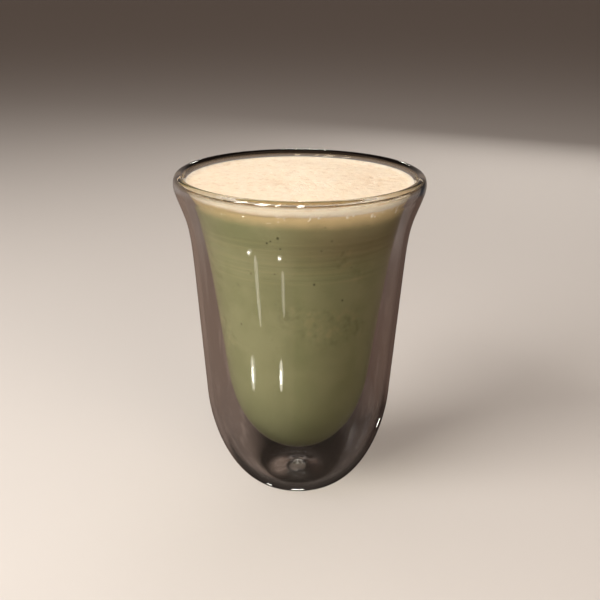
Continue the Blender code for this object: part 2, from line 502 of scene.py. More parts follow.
@dataclass(frozen=True)
class MilkFroth:
    """Dense peach-cream froth, browner in its hollows and towards the drink, and painted paler down its
    side as painted glow for light that scatters through it.

    The relief attribute is 0.5 at the froth's level, less in a hollow and more on a crest.
    """

    fade_and_painted_glow: FadeAndPaintedGlow
    name: str = Slot.FROTH.value
    cream: Colour = (0.910, 0.750, 0.575)
    # painted glow: the froth's side, paler where light scatters through it
    side_glow_cream: Colour = (0.970, 0.850, 0.720)
    hollow: Colour = (0.660, 0.470, 0.290)
    crest: Colour = (0.960, 0.830, 0.660)
    wet: Colour = (0.420, 0.340, 0.180)
    pale_blotches: Patches = Patches(420.0, low=0.46, high=0.64, share=0.6, detail=5.0, roughness=0.65)
    dark_blotches: Patches = Patches(420.0, low=0.46, high=0.32, share=0.45, detail=5.0, roughness=0.65)
    hollow_relief: Span = (0.44, 0.16)
    hollow_share: float = 0.8
    crest_relief: Span = (0.58, 0.85)
    crest_share: float = 0.6
    side_glow_depths: Span = (0.0005, 0.0012)
    bubble_scale: float = 1500.0
    bubble_limits: Span = (0.1, 0.6)
    bubble_strength: float = 0.35
    bubble_depth: float = 0.0001
    glow_depth: float = 0.0018
    roughness: float = 0.42

    def foam(self, graph: Graph) -> Signal:
        """The froth's own colour, blotched, and following its relief, with painted glow making it paler
        down its side.

        Args:
            graph: The material's graph.

        Returns:
            The colour.
        """
        place = graph.place()
        relief = graph.node("ShaderNodeAttribute", {"attribute_name": RELIEF})["Fac"]
        foam = graph.mix(graph.patches(place, self.pale_blotches), self.cream, self.crest)
        foam = graph.mix(graph.patches(place, self.dark_blotches), foam, self.hollow)
        foam = graph.mix(relief.between(*self.hollow_relief) * self.hollow_share, foam, self.hollow)
        foam = graph.mix(relief.between(*self.crest_relief) * self.crest_share, foam, self.crest)
        depth = self.fade_and_painted_glow.top_level - graph.height()
        # painted glow down the froth's side
        return graph.mix(depth.between(*self.side_glow_depths), foam, self.side_glow_cream)

    def material(self) -> bpy.types.Material:
        """Make the material.

        Returns:
            The new material.
        """
        graph = Graph(bpy.data.materials.new(self.name))
        bubbles = graph.cells(graph.place(), self.bubble_scale).between(*self.bubble_limits)
        shader = graph.surface({
            "Base Color": self.fade_and_painted_glow.tint(graph, self.foam(graph), self.wet),
            "Roughness": self.roughness,
            "Normal": graph.relief(bubbles, self.bubble_strength, self.bubble_depth),
            "Subsurface Weight": 1.0,
            "Subsurface Radius": (1.0, 1.0, 1.0),
            "Subsurface Scale": self.glow_depth,
        })
        return graph.finish(shader)


@dataclass(frozen=True)
class FrothBubble:
    """Single bubbles that lie against the glass, painted near white: a painted highlight for the glint
    that they catch.
    """

    name: str = "froth_bubbles"
    # painted highlight: the bubbles' near-white colour stands for their glint
    highlight_skin: Colour = (1.00, 0.93, 0.76)
    shade: Colour = (0.86, 0.74, 0.54)
    tones: Patches = Patches(scale=900.0, low=0.35, high=0.65, detail=2.0)
    roughness: float = 0.3

    def material(self) -> bpy.types.Material:
        """Make the material.

        Returns:
            The new material.
        """
        graph = Graph(bpy.data.materials.new(self.name))
        colour = graph.mix(graph.patches(graph.place(), self.tones), self.highlight_skin, self.shade)
        return graph.finish(graph.surface({"Base Color": colour, "Roughness": self.roughness}))


@dataclass(frozen=True)
class TeaSpeck:
    """Undissolved grains of powdered tea."""

    name: str = "tea_specks"
    dark: Colour = (0.055, 0.055, 0.018)
    light: Colour = (0.130, 0.125, 0.045)
    tones: Patches = Patches(scale=1400.0, low=0.35, high=0.65, detail=2.0)
    roughness: float = 0.6

    def material(self) -> bpy.types.Material:
        """Make the material.

        Returns:
            The new material.
        """
        graph = Graph(bpy.data.materials.new(self.name))
        colour = graph.mix(graph.patches(graph.place(), self.tones), self.dark, self.light)
        return graph.finish(graph.surface({"Base Color": colour, "Roughness": self.roughness}))


@dataclass(frozen=True)
class PaleFloor:
    """The plain pale surface that the glass stands on."""

    name: str = "pale_floor"
    colour: Colour = (0.62, 0.59, 0.57)
    roughness: float = 0.7

    def material(self) -> bpy.types.Material:
        """Make the material.

        Returns:
            The new material.
        """
        graph = Graph(bpy.data.materials.new(self.name))
        shader = graph.surface({"Base Color": (*self.colour, 1.0), "Roughness": self.roughness})
        return graph.finish(shader)


# ---------------------------------------------------------------- shape helpers


def bowl_share(rise: np.ndarray, exponent: float) -> np.ndarray:
    """Share of the full radius that a rounded bottom has reached at a share of its height."""
    rise = np.clip(rise, 0.0, 1.0)
    return (1.0 - (1.0 - rise) ** exponent) ** (1.0 / exponent)


def bowl_heights(bottom: float, height: float, exponent: float, steps: int) -> np.ndarray:
    """Heights up a rounded bottom, close together where the curve lies flat.

    Args:
        bottom: Where the curve starts.
        height: How far it rises.
        exponent: How square it is.
        steps: The number of heights, without the last.

    Returns:
        The heights, from the bottom up.
    """
    turns = 0.5 * math.pi * np.arange(steps) / steps
    return bottom + height * (1.0 - np.cos(turns) ** (2.0 / exponent))


def inset(outline: np.ndarray, thickness: np.ndarray | float) -> np.ndarray:
    """Move an upward-running outline inwards, square to itself, and its first point straight up.

    Args:
        outline: Rows of (radius, height).
        thickness: How far, for all points or for each.

    Returns:
        The moved outline.
    """
    run = np.gradient(outline[:, 0])
    rise = np.gradient(outline[:, 1])
    run[0], rise[0] = 1.0, 0.0
    length = np.hypot(run, rise)
    return outline + np.stack([-rise, run], axis=1) * (thickness / length)[:, None]


def arc(centre: tuple[float, float], radius: float, start: float, end: float,
        steps: int) -> np.ndarray:
    """Points on an arc between two angles, in degrees from the outer side."""
    angles = np.radians(np.linspace(start, end, steps + 1))
    return np.stack([centre[0] + radius * np.cos(angles), centre[1] + radius * np.sin(angles)], 1)


@dataclass(frozen=True)
class HandBlown:
    """The slight waver of hand-blown walls, the same for every face of the glass.

    Each wave has a height, a phase in radians, and a twist in radians for each metre up. The
    heights are those at the full radius.
    """

    full_radius: float = 0.044
    oval: float = 0.00007
    oval_phase: float = 0.6
    lobes: float = 0.00005
    lobe_phase: float = 1.9
    lobe_twist: float = 35.0
    ripple: float = 0.00002
    ripple_phase: float = 0.4
    ripple_twist: float = -90.0

    def shift(self, angle: np.ndarray, radius: np.ndarray, height: np.ndarray) -> np.ndarray:
        """How far a point moves outwards.

        Args:
            angle: The point's direction about the axis, in radians.
            radius: Its distance from the axis.
            height: Its height above the foot.

        Returns:
            The shift, in metres.
        """
        oval = self.oval * np.cos(2.0 * angle + self.oval_phase)
        lobes = self.lobes * np.cos(3.0 * angle + self.lobe_phase + self.lobe_twist * height)
        ripple = self.ripple * np.cos(5.0 * angle + self.ripple_phase + self.ripple_twist * height)
        return (oval + lobes + ripple) * radius / self.full_radius


@dataclass(frozen=True)
class Lathe:
    """Turns outlines of (radius, height) into meshes about +Z.

    A point nearer to the axis than axis_radius becomes one vertex on it.
    """

    segments: int = 288
    waver: HandBlown = HandBlown()
    sharp_angle: float = 40.0
    axis_radius: float = 1e-6

    def turn(self, name: str, outline: np.ndarray) -> bpy.types.Object:
        """Make a solid of revolution.

        Args:
            name: The piece's name.
            outline: Rows of (radius, height) down the outer side.

        Returns:
            The piece, linked to the scene.
        """
        angles = math.tau * np.arange(self.segments) / self.segments
        points: list[np.ndarray] = []
        rings: list[np.ndarray] = []
        for radius, height in outline:
            first = sum(len(chunk) for chunk in points)
            if radius < self.axis_radius:
                points.append(np.array([[0.0, 0.0, height]]))
                rings.append(np.full(self.segments, first))
                continue
            reach = radius + self.waver.shift(angles, radius, height)
            ring = np.stack([reach * np.cos(angles), reach * np.sin(angles),
                             np.full(self.segments, height)], axis=1)
            points.append(ring)
            rings.append(first + np.arange(self.segments))
        faces = []
        for upper, lower in zip(rings, rings[1:]):
            for here in range(self.segments):
                there = (here + 1) % self.segments
                corners = [upper[here], lower[here], lower[there], upper[there]]
                faces.append(list(dict.fromkeys(int(corner) for corner in corners)))
        mesh = bpy.data.meshes.new(name)
        mesh.from_pydata(np.concatenate(points).tolist(), [], faces)
        return self.shown(name, mesh)

    def shown(self, name: str, mesh: bpy.types.Mesh) -> bpy.types.Object:
        """Shade a mesh smooth and put it in the scene as a piece.

        Args:
            name: The piece's name.
            mesh: Its mesh.

        Returns:
            The piece.
        """
        mesh.shade_smooth()
        mesh.set_sharp_from_angle(angle=math.radians(self.sharp_angle))
        piece = bpy.data.objects.new(name, mesh)
        bpy.context.scene.collection.objects.link(piece)
        return piece


def fit_out(piece: bpy.types.Object, material: bpy.types.Material,
            stands_for: Node | None = None) -> None:
    """Give a piece its material, body and slot, and report it.

    Args:
        piece: The finished piece.
        material: What it is made of.
        stands_for: The solid that it replaces, if any.
    """
    piece.data.materials.clear()
    piece.data.materials.append(material)
    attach(piece, BODY)
    if stands_for is not None:
        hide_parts(stands_for.value)
    LOG.info("%s: %d faces in %s", piece.name, len(piece.data.polygons), material.name)


# ---------------------------------------------------------------- the glass


@dataclass
class DoubleWallGlass:
    """A blown glass with an outer shell and an inner cup, fused at a curled lip.

    Each wall is a rounded bowl, then a taper that widens evenly, then a flare at the mouth.
    The shell's edge curls back in over the last lip_curl_depth. Drops are below the mouth,
    and the punt is the hollow under the foot.
    """

    lathe: Lathe
    height: float
    rim_height: float = 0.0006
    lip_curl: float = 0.00285
    lip_curl_depth: float = 0.0055
    shell_wall: float = 0.0015
    cup_wall: float = 0.0015
    foot_radius: float = 0.0130
    shell_belly_radius: float = 0.03139
    shell_bowl_height: float = 0.0365
    shell_bowl_exponent: float = 1.875
    shell_taper: float = 0.00825
    shell_flare: float = 0.0053
    shell_flare_drop: float = 0.0103
    shell_flare_spread: float = 0.0043
    cup_bottom: float = 0.01383
    cup_belly_radius: float = 0.02194
    cup_bowl_height: float = 0.0327
    cup_bowl_exponent: float = 2.32
    cup_taper: float = 0.01384
    cup_flare: float = 0.0071
    cup_flare_length: float = 0.0100
    base_thickness: float = 0.0020
    punt_rim_radius: float = 0.0080
    punt_floor_radius: float = 0.0050
    punt_rise: float = 0.0008
    vent_radius: float = 0.0034
    cavity_top_drop: float = 0.0019
    bowl_steps: int = 36
    wall_steps: int = 48
    lip_steps: int = 24
    rim_steps: int = 9
    cavity_steps: int = 12
    wall_spacing: float = 0.7
    rim_turn: float = 60.0

    def shell_radius(self, z: np.ndarray) -> np.ndarray:
        """Radius of the shell's outer face.

        Args:
            z: The heights.

        Returns:
            The radius at each height.
        """
        bowl = bowl_share(z / self.shell_bowl_height, self.shell_bowl_exponent)
        middle = self.height - self.shell_flare_drop
        flare = self.shell_flare / (1.0 + np.exp((middle - z) / self.shell_flare_spread))
        belly = (self.shell_belly_radius - self.foot_radius) * bowl
        turned = np.clip((z - self.height) / self.lip_curl_depth + 1.0, 0.0, 1.0)
        curl = self.lip_curl * (1.0 - np.sqrt(1.0 - turned ** 2))
        return self.foot_radius + belly + self.shell_taper * z / self.height + flare - curl

    def cup_radius(self, z: np.ndarray) -> np.ndarray:
        """Radius of the inner cup's outer face.

        Args:
            z: The heights.

        Returns:
            The radius at each height.
        """
        rise = z - self.cup_bottom
        bowl = self.cup_belly_radius * bowl_share(rise / self.cup_bowl_height, self.cup_bowl_exponent)
        taper = self.cup_taper * rise / (self.height - self.cup_bottom)
        return bowl + taper + self.cup_flare * np.exp((z - self.height) / self.cup_flare_length)

    def wall_heights(self, bottom: float, top: float) -> np.ndarray:
        """Heights up a wall, closer together towards the flared top."""
        shares = (np.arange(self.wall_steps + 1) / self.wall_steps) ** self.wall_spacing
        return bottom + (top - bottom) * shares

    def shell_face(self) -> np.ndarray:
        """The shell's outer face from the edge of the foot up to the rim's top.

        Returns:
            Rows of (radius, height), upwards.
        """
        bowl = bowl_heights(0.0, self.shell_bowl_height, self.shell_bowl_exponent, self.bowl_steps)
        wall = self.wall_heights(self.shell_bowl_height, self.height - self.lip_curl_depth)
        turns = 0.5 * math.pi * np.arange(1, self.lip_steps + 1) / self.lip_steps
        lip = self.height - self.lip_curl_depth * (1.0 - np.sin(turns))
        z = np.concatenate([bowl, wall, lip])
        return np.stack([self.shell_radius(z), z], axis=1)

    def shell_inner_face(self, top: float) -> np.ndarray:
        """The shell's inner face, thick at the base and thinning up the bowl.

        Args:
            top: The height below which it ends.

        Returns:
            Rows of (radius, height), upwards.
        """
        outer = self.shell_face()
        left = 1.0 - bowl_share(outer[:, 1] / self.shell_bowl_height, self.shell_bowl_exponent)
        inner = inset(outer, self.shell_wall + (self.base_thickness - self.shell_wall) * left)
        return inner[inner[:, 1] < top]

    def cup_face(self, top: float) -> np.ndarray:
        """The cup's outer face, from the axis up.

        Args:
            top: The height at which it ends.

        Returns:
            Rows of (radius, height), upwards.
        """
        bowl = bowl_heights(self.cup_bottom, self.cup_bowl_height, self.cup_bowl_exponent,
                            self.bowl_steps)
        walls = self.wall_heights(self.cup_bottom + self.cup_bowl_height, top)
        z = np.concatenate([bowl, walls])
        face = np.stack([self.cup_radius(z), z], axis=1)
        face[0, 0] = 0.0
        return face

    def cup_inner_face(self, bottom: float, top: float, reach: float = 0.0) -> np.ndarray:
        """The face that holds the drink, between two heights.

        Args:
            bottom: The lowest height kept.
            top: The highest, where the last point lies.
            reach: How far into the wall the outline runs.

        Returns:
            Rows of (radius, height), upwards.
        """
        outer = self.cup_face(self.height)
        inner = inset(outer, np.full(len(outer), self.cup_wall - reach))
        inside = (inner[:, 1] > bottom + LEVEL_SLACK) & (inner[:, 1] < top - LEVEL_SLACK)
        ends = [np.interp(level, inner[:, 1], inner[:, 0]) for level in (bottom, top)]
        start = [] if bottom < inner[0, 1] else [(ends[0], bottom)]
        return np.array([*start, *inner[inside].tolist(), (ends[1], top)])

    def rim_face(self, inner_radius: float, outer_radius: float) -> np.ndarray:
        """The rim's top, rounded down towards the inside.

        Args:
            inner_radius: Where it starts, at the cup's inner face.
            outer_radius: Where it ends, at the shell's top.

        Returns:
            Rows of (radius, height) between the two, outwards.
        """
        turns = np.radians(np.linspace(self.rim_turn, 0.0, self.rim_steps + 1))[1:-1]
        reach = (outer_radius - inner_radius) / math.sin(math.radians(self.rim_turn))
        heights = self.height - self.rim_height * (1.0 - np.cos(turns))
        return np.stack([outer_radius - reach * np.sin(turns), heights], axis=1)

    def cavity_top(self, start: np.ndarray, end: np.ndarray) -> np.ndarray:
        """The half-round top of the space between the walls.

        Args:
            start: The last point of the shell's inner face.
            end: The last point of the cup's outer face.

        Returns:
            Rows of (radius, height) between the two, inwards.
        """
        centre = (start + end) / 2.0
        across = start - end
        tilt = math.degrees(math.atan2(across[1], across[0]))
        radius = float(np.hypot(*across)) / 2.0
        return arc((centre[0], centre[1]), radius, tilt, tilt + 180.0, self.cavity_steps)[1:-1]

    def outline(self) -> np.ndarray:
        """The whole glass, from the cup's inside over the lip and round the shell.

        Returns:
            Rows of (radius, height), from the inner cup's bottom round to its underside.
        """
        inside = self.cup_inner_face(0.0, self.height - 0.5 * self.rim_height)
        outside = self.shell_face()[::-1]
        rim = self.rim_face(inside[-1, 0], outside[0, 0])
        foot = np.array([
            (self.punt_rim_radius, 0.0),
            (self.punt_floor_radius, self.punt_rise),
            (self.vent_radius, self.punt_rise),
            (self.vent_radius, self.base_thickness),
        ])
        level = self.height - self.cavity_top_drop
        shell_inside = self.shell_inner_face(level)
        cup_outside = self.cup_face(level)
        top = self.cavity_top(shell_inside[-1], cup_outside[-1])
        return np.concatenate([inside, rim, outside, foot, shell_inside, top, cup_outside[::-1]])

    def build(self) -> None:
        """Make the glass."""
        piece = self.lathe.turn("blown_double_wall_glass", self.outline())
        finish = ClearGlass(lip_level=self.height - self.cavity_top_drop)
        fit_out(piece, finish.material(), Node.GLASS)


@dataclass
class VentSeal:
    """The small fire-polished bead that closes the vent in the base."""

    glass: DoubleWallGlass
    gap: float = 0.0003
    dome_height: float = 0.0028
    edge_bevel: float = 0.0002
    dome_steps: int = 13
    segments: int = 48
    tint: Colour = (0.93, 0.93, 0.92)
    roughness: float = 0.06

    def build(self) -> None:
        """Make the seal."""
        radius = self.glass.vent_radius - self.gap
        shoulder = self.glass.base_thickness + self.gap
        turns = np.linspace(0.0, 0.5 * math.pi, self.dome_steps + 1)
        dome = np.stack([radius * np.sin(turns), shoulder + self.dome_height * np.cos(turns)], 1)
        end = self.glass.punt_rise + self.gap
        foot = np.array([
            (radius, end + self.edge_bevel),
            (radius - self.edge_bevel, end),
            (0.0, end),
        ])
        piece = Lathe(self.segments).turn("vent_seal_bead", np.concatenate([dome, foot]))
        finish = ClearGlass(name=Slot.SEAL.value, tint=self.tint, roughness=self.roughness)
        fit_out(piece, finish.material(), Node.SEAL)


# ---------------------------------------------------------------- the drink


@dataclass(frozen=True)
class Mark:
    """A speck or bubble against the cup's wall.

    The azimuth is in degrees from the front, positive to the right; drop is the distance
    below the lip; length stretches the mark up and down the wall.
    """

    azimuth: float
    drop: float
    size: float
    length: float = 1.0


@dataclass(frozen=True)
class WallMarks:
    """Small lens-shaped bodies that lie against the cup's wall, joined in one piece.

    Reach is how far into the wall the face that they lie on runs.
    """

    glass: DoubleWallGlass
    reach: float
    top_drop: float = 0.0028
    slope_step: float = 0.001
    bulge_limit: float = 0.00025
    flatness: float = 0.5
    unevenness: float = 0.25
    lump_scale: float = 2.0

    def lay(self, form: bmesh.types.BMesh, mark: Mark, face: np.ndarray,
            rng: random.Random) -> None:
        """Add one body.

        Args:
            form: The mesh that it joins.
            mark: Where it lies and how large it is.
            face: The face that it lies on, as rows of (radius, height).
            rng: Draws its unevenness.
        """
        height = self.glass.height - mark.drop
        above = height + self.slope_step
        radius, radius_above = np.interp((height, above), face[:, 1], face[:, 0]).tolist()
        angle = math.radians(mark.azimuth - 90.0)
        ahead = Vector((math.cos(angle), math.sin(angle), 0.0))
        across = Vector((-math.sin(angle), math.cos(angle), 0.0))
        lean = Vector((0.0, 0.0, (radius_above - radius) / self.slope_step))
        outward = (ahead - lean).normalized()
        upward = outward.cross(across)
        waver = float(self.glass.lathe.waver.shift(np.array(angle), radius, height))
        centre = ahead * (radius + waver) + Vector((0.0, 0.0, height))
        made = bmesh.ops.create_icosphere(form, subdivisions=2, radius=0.5 * mark.size)
        for vertex in made["verts"]:
            spot = vertex.co / mark.size * self.lump_scale + Vector((rng.random(), 0.0, 0.0))
            offset = vertex.co * (1.0 + self.unevenness * noise.noise(spot))
            bulge = min(offset.z, self.bulge_limit) * self.flatness
            vertex.co = (centre + across * offset.x + upward * offset.y * mark.length
                         + outward * bulge)

    def build(self, name: str, marks: list[Mark], rng: random.Random) -> bpy.types.Object:
        """Make the piece.

        Args:
            name: The piece's name.
            marks: Where the bodies lie and how large they are.
            rng: Draws their unevenness.

        Returns:
            The piece.
        """
        face = self.glass.cup_inner_face(0.0, self.glass.height - self.top_drop, self.reach)
        form = bmesh.new()
        for mark in marks:
            self.lay(form, mark, face, rng)
        mesh = bpy.data.meshes.new(name)
        form.to_mesh(mesh)
        form.free()
        return self.glass.lathe.shown(name, mesh)


@dataclass
class MatchaDrink:
    """The green drink, with the specks of tea that lie against the glass."""

    glass: DoubleWallGlass
    froth_line: float
    fade_and_painted_glow: FadeAndPaintedGlow
    reach: float = 0.00020
    marks: tuple[Mark, ...] = (
        Mark(-11, 0.0132, 0.00100), Mark(-15, 0.0145, 0.00064), Mark(-17, 0.0153, 0.00078),
        Mark(-10, 0.0171, 0.00064), Mark(-29, 0.0274, 0.00070), Mark(-14, 0.0265, 0.00064),
        Mark(9, 0.0300, 0.00088), Mark(28, 0.0369, 0.00080), Mark(-42, 0.0478, 0.00074),
        Mark(12, 0.0178, 0.00060), Mark(-40, 0.0327, 0.00056), Mark(17, 0.0144, 0.00060),
    )
    strays: int = 70
    stray_shares: Span = (0.011, 1.0)
    stray_crowding: float = 1.6
    stray_zone: float = 0.09
    stray_top_drop: float = 0.009
    stray_sizes: Span = (0.00024, 0.00048)
    seed: int = 11

    def stray(self, rng: random.Random) -> Mark:
        """One small speck anywhere about the drink, more often near its top."""
        azimuth = rng.uniform(0.0, 360.0)
        sunk = rng.uniform(*self.stray_shares) ** self.stray_crowding * self.stray_zone
        return Mark(azimuth, sunk + self.stray_top_drop, rng.uniform(*self.stray_sizes))

    def build(self) -> None:
        """Make the drink and its specks."""
        side = self.glass.cup_inner_face(0.0, self.froth_line, self.reach)
        outline = np.concatenate([[(0.0, self.froth_line)], side[::-1]])
        piece = self.glass.lathe.turn("matcha_milk", outline)
        fit_out(piece, MatchaMilk(self.fade_and_painted_glow).material(), Node.DRINK)
        rng = random.Random(self.seed)
        marks = [*self.marks, *(self.stray(rng) for _ in range(self.strays))]
        specks = WallMarks(self.glass, self.reach).build("tea_specks", marks, rng)
        fit_out(specks, TeaSpeck().material())


# ---------------------------------------------------------------- the froth


@dataclass
class FrothCap:
    """The froth: a softly lumpy top with burst bubbles, and a wavy lower edge at the glass.

    Scales are in lumps per metre, and pits are where bubbles have burst.
    """

    glass: DoubleWallGlass
    top_level: float
    bottom_level: float
    fade_and_painted_glow: FadeAndPaintedGlow
    reach: float = 0.00023
    segments: int = 448
    rings: int = 118
    ring_crowding: float = 1.15
    swell: float = 0.00022
    swell_scale: float = 60.0
    lumps: float = 0.00016
    lump_scale: float = 330.0
    lump_octaves: int = 3
    lump_fading: float = 0.9
    octave_step: float = 2.1
    grain: float = 0.00007
    grain_scale: float = 1500.0
    patch_scale: float = 85.0
    patch_shift: float = 3.1
    meniscus: float = 0.0006
    meniscus_width: float = 0.0011
    edge_wave: float = 0.0003
    edge_wave_scale: float = 160.0
    pits: int = 46
    pit_depth: float = 0.00022
    pit_sizes: Span = (0.0003, 0.0006)
    pit_areas: Span = (0.02, 0.92)
    pit_steepness: float = 1.5
    pit_reach: float = 2.0
    seed: int = 5
    bubbles: tuple[Mark, ...] = (
        Mark(-7, 0.0060, 0.00060), Mark(5, 0.0061, 0.00080), Mark(9, 0.0059, 0.00090),
        Mark(23, 0.0062, 0.00120), Mark(26, 0.0060, 0.00070), Mark(37, 0.0069, 0.00130, 1.3),
        Mark(39, 0.0073, 0.00080), Mark(56, 0.0072, 0.00130, 2.2), Mark(51, 0.0066, 0.00070),
    )
    strays: int = 60
    stray_drop: float = 0.0071
    stray_spread: float = 0.0007
    stray_sizes: Span = (0.0003, 0.0006)

    def relief(self, spot: Vector) -> float:
        """Height of the froth's top over its level, without pits or meniscus.

        Args:
            spot: A point on the froth's level.

        Returns:
            The height, in metres.
        """
        swell = noise.noise(spot * self.swell_scale)
        lumps = noise.fractal(spot * self.lump_scale, self.lump_fading, self.octave_step,
                              self.lump_octaves)
        grain = noise.noise(spot * self.grain_scale)
        shift = Vector((self.patch_shift, 0.0, 0.0))
        patches = 0.5 + 0.5 * noise.noise(spot * self.patch_scale + shift)
        return self.swell * swell + self.lumps * lumps * patches + self.grain * grain * patches

    def pit_places(self, rng: random.Random, edge: float) -> list[Triple]:
        """Choose where bubbles have burst.

        Args:
            rng: Draws the places and sizes.
            edge: The froth's radius.

        Returns:
            Rows of x, y and size.
        """
        places = []
        for _ in range(self.pits):
            angle = rng.uniform(0.0, math.tau)
            radius = edge * math.sqrt(rng.uniform(*self.pit_areas))
            size = rng.uniform(*self.pit_sizes)
            places.append((radius * math.cos(angle), radius * math.sin(angle), size))
        return places

    def pitting(self, x: float, y: float, pits: list[Triple]) -> float:
        """How deep the pits reach at a point.

        Args:
            x: The point's place.
            y: The point's place.
            pits: Rows of x, y and size.

        Returns:
            The depth, in metres.
        """
        depth = 0.0
        for px, py, size in pits:
            if max(abs(x - px), abs(y - py)) < self.pit_reach * size:
                away = ((x - px) ** 2 + (y - py) ** 2) / size ** 2
                depth += self.pit_depth * math.exp(-self.pit_steepness * away)
        return depth

    def sculpt(self, piece: bpy.types.Object, edge: float, rng: random.Random) -> None:
        """Raise the top's relief, wave the lower edge, and keep the relief as an attribute.

        Args:
            piece: The turned froth.
            edge: Its radius at the top.
            rng: Draws the pits.
        """
        pits = self.pit_places(rng, edge)
        mesh = piece.data
        values = np.full(len(mesh.vertices), 0.5, np.float32)
        full = self.swell + self.lumps + self.grain
        for index, vertex in enumerate(mesh.vertices):
            x, y, z = vertex.co
            radius = math.hypot(x, y)
            spot = Vector((x, y, 0.0))
            if z > self.top_level - LEVEL_SLACK:
                rise = self.relief(spot) - self.pitting(x, y, pits)
                values[index] = 0.5 + 0.5 * rise / full
                fade = min(1.0, (edge - radius) / self.meniscus_width)
                climb = self.meniscus * math.exp((radius - edge) / self.meniscus_width)
                vertex.co.z += rise * max(0.0, fade) + climb - 0.5 * self.meniscus
            elif z < self.bottom_level + LEVEL_SLACK and radius > 0.5 * edge:
                vertex.co.z -= self.edge_wave * abs(noise.noise(spot * self.edge_wave_scale))
        attribute = mesh.attributes.new(RELIEF, "FLOAT", "POINT")
        attribute.data.foreach_set("value", values)
        mesh.update()

    def stray(self, rng: random.Random) -> Mark:
        """One small bubble anywhere along the froth's edge."""
        azimuth = rng.uniform(0.0, 360.0)
        drop = rng.gauss(self.stray_drop, self.stray_spread)
        return Mark(azimuth, drop, rng.uniform(*self.stray_sizes))

    def build(self) -> None:
        """Make the froth and the bubbles at its edge."""
        rng = random.Random(self.seed)
        side = self.glass.cup_inner_face(self.bottom_level, self.top_level, self.reach)[::-1]
        edge = float(side[0, 0])
        shares = 1.0 - np.arange(self.rings + 1) / self.rings
        radii = edge * (1.0 - shares ** self.ring_crowding)
        top = np.stack([radii, np.full(len(radii), self.top_level)], axis=1)
        outline = np.concatenate([top, side[1:], [(0.0, self.bottom_level)]])
        piece = Lathe(self.segments).turn("milk_froth_cap", outline)
        self.sculpt(piece, edge, rng)
        fit_out(piece, MilkFroth(self.fade_and_painted_glow).material(), Node.FROTH)
        marks = [*self.bubbles, *(self.stray(rng) for _ in range(self.strays))]
        bubbles = WallMarks(self.glass, self.reach).build("froth_bubbles", marks, rng)
        fit_out(bubbles, FrothBubble().material())


# ---------------------------------------------------------------- the stage


def show_light(name: str, data: bpy.types.Light, place: Vector, facing: Vector) -> bpy.types.Object:
    """Put a light in the scene.

    Args:
        name: The light's name.
        data: Its lamp.
        place: Where it is.
        facing: The direction that it shines in.

    Returns:
        The light.
    """
    light = bpy.data.objects.new(name, data)
    light.location = place
    light.rotation_euler = facing.to_track_quat("-Z", "Y").to_euler()
    bpy.context.scene.collection.objects.link(light)
    return light


@dataclass(frozen=True)
class AreaLamp:
    """A flat lamp with an even face: a disc of its width if its height is zero."""

    name: str
    width: float
    height: float
    radiance: float
    colour: Colour

    def build(self, place: Vector, aim: Vector) -> bpy.types.Object:
        """Add the lamp.

        Args:
            place: Where it is.
            aim: What it faces.

        Returns:
            The lamp.
        """
        data = bpy.data.lights.new(self.name, "AREA")
        data.size = self.width
        if self.height:
            data.shape = "RECTANGLE"
            data.size_y = self.height
            face = self.width * self.height
        else:
            data.shape = "DISK"
            face = 0.25 * math.pi * self.width ** 2
        data.energy = self.radiance * face * math.pi
        data.color = self.colour
        return show_light(self.name, data, place, aim - place)


@dataclass(frozen=True)
class Softbox:
    """A large soft lamp that no surface mirrors, aimed at a share of the glass's height."""

    face: AreaLamp
    place: Triple
    aim_share: float = 0.5

    def build(self, mouth: Vector) -> None:
        """Add the softbox, for a glass whose mouth is centred here."""
        lamp = self.face.build(Vector(self.place), self.aim_share * mouth)
        lamp.visible_camera = False
        lamp.visible_glossy = False
        lamp.visible_transmission = False


@dataclass(frozen=True)
class GlintLamp:
    """A small lamp that the glass mirrors as a glint, and that lights nothing else.

    The azimuth is in degrees from the front, positive to the right; height is above the
    floor; aim_share is where up the glass it aims. A lamp with a tallness of zero is round.
    One that isn't seen through glass shows only in the outermost faces.
    """

    name: str
    azimuth: float
    distance: float
    height: float
    size: float
    radiance: float
    tallness: float = 0.0
    through_glass: bool = False
    aim_share: float = 0.5
    colour: Colour = (1.0, 0.97, 0.90)

    def build(self, mouth: Vector) -> None:
        """Add the lamp, for a glass whose mouth is centred here."""
        turn = math.radians(self.azimuth)
        place = Vector((self.distance * math.sin(turn), -self.distance * math.cos(turn), self.height))
        face = AreaLamp(self.name, self.size, self.tallness, self.radiance, self.colour)
        lamp = face.build(place, self.aim_share * mouth)
        lamp.visible_camera = False
        lamp.visible_diffuse = False
        lamp.visible_transmission = self.through_glass


@dataclass(frozen=True)
class EdgeLamp:
    """A flat, snooted beam along the froth's edge, which the froth spreads like milk glass.

    The azimuth is in degrees from the front, positive to the right; rise is how steeply the
    lamp lies above its aim, and drop how far the aim is below the mouth.
    """

    name: str = "edge_lamp"
    azimuth: float = 12.0
    rise: float = -0.06
    distance: float = 0.60
    power: float = 14.0
    colour: Colour = (1.0, 0.96, 0.92)
    radius: float = 0.01
    beam_width: float = 0.085
    beam_height: float = 0.0062
    drop: float = 0.0006

    def build(self, mouth: Vector) -> None:
        """Add the lamp, for a glass whose mouth is centred here."""
        data = bpy.data.lights.new(self.name, "SPOT")
        data.energy = self.power
        data.color = self.colour
        data.shadow_soft_size = self.radius
        data.spot_size = 2.0 * math.atan(self.beam_width / self.distance)
        data.spot_blend = 1.0
        turn = math.radians(self.azimuth)
        away = Vector((math.sin(turn), -math.cos(turn), self.rise)).normalized()
        aim = mouth - Vector((0.0, 0.0, self.drop))
        lamp = show_light(self.name, data, aim + away * self.distance, -away)
        lamp.scale = (1.0, self.beam_height / self.beam_width, 1.0)
        lamp.visible_glossy = False
        lamp.visible_transmission = False


